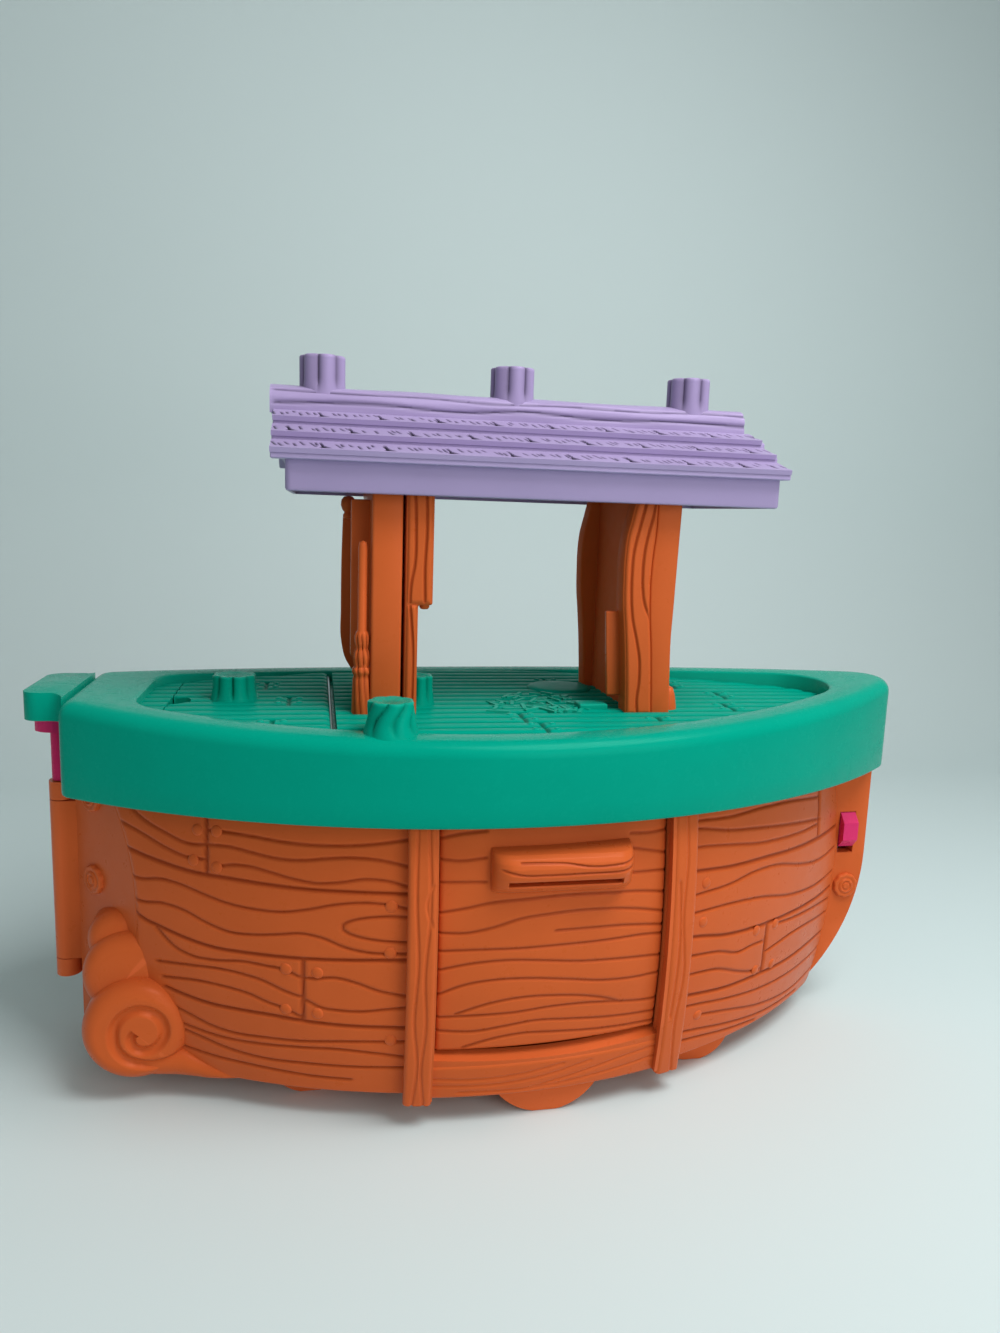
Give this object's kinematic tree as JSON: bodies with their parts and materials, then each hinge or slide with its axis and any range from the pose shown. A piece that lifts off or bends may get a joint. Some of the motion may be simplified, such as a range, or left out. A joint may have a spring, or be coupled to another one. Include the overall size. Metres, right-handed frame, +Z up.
{
  "type": "toy ark",
  "caption": "Toy ark with a clamshell hull on a stern hinge, a drop-down ramp door, a decked rim with a lift-up hatch and an open cabin under a lift-off shingled roof",
  "frame": {"origin": "Middle of the footprint box on the ground plane under the feet", "axes": "+X to the bow, +Y to port, +Z up"},
  "size_m": [0.4, 0.1814, 0.3115],
  "materials": {
    "brown_plastic": "moulded wood grain, glossy",
    "green_plastic": "glossy",
    "purple_plastic": "moulded shingles, glossy",
    "pink_plastic": "glossy",
    "steel": "plated"
  },
  "bodies": {
    "ark": {"port_hull": "brown_plastic", "hinge_pin": "pink_plastic", "pin_screw": "steel", "deck": "green_plastic", "deck_screws": "steel", "hatch_pin": "steel", "catch_spring": "steel", "catch_cover": "brown_plastic", "aft_wall_outer": "brown_plastic", "aft_wall_inner": "brown_plastic", "fore_wall_inner": "brown_plastic", "fore_wall_outer": "brown_plastic", "wall_screws": "steel"},
    "swing_hull": {"starboard_hull": "brown_plastic", "door_pins": "steel"},
    "ramp": {"ramp_door": "brown_plastic"},
    "hatch": {"deck_hatch": "green_plastic"},
    "catch": {"bow_catch": "pink_plastic"},
    "roof": {"roof_cover": "purple_plastic", "roof_frame": "purple_plastic", "roof_screws": "steel"}
  },
  "joints": [
    {"name": "hull_swing", "type": "hinge", "parent": "ark", "child": "swing_hull", "pos_m": [-0.1911, 0, 0.08], "axis": [0, 0, -1], "range_deg": [0, 100]},
    {"name": "ramp_drop", "type": "hinge", "parent": "swing_hull", "child": "ramp", "pos_m": [0.0126, -0.07084, 0.041], "axis": [0.997, 0.0776, 0], "range_deg": [0, 100]},
    {"name": "hatch_lift", "type": "hinge", "parent": "ark", "child": "hatch", "pos_m": [-0.0764, 0, 0.161], "axis": [0, 1, 0], "range_deg": [0, 70]},
    {"name": "catch_press", "type": "slide", "parent": "ark", "child": "catch", "axis": [0, 0, -1], "range_m": [0, 0.003], "stiffness_N_per_m": 300, "springref_m": -0.002, "deforming": ["catch_spring"]},
    {"name": "roof_lift", "type": "slide", "parent": "ark", "child": "roof", "axis": [0, 0, 1], "range_m": [0, 0.06]}
  ]
}
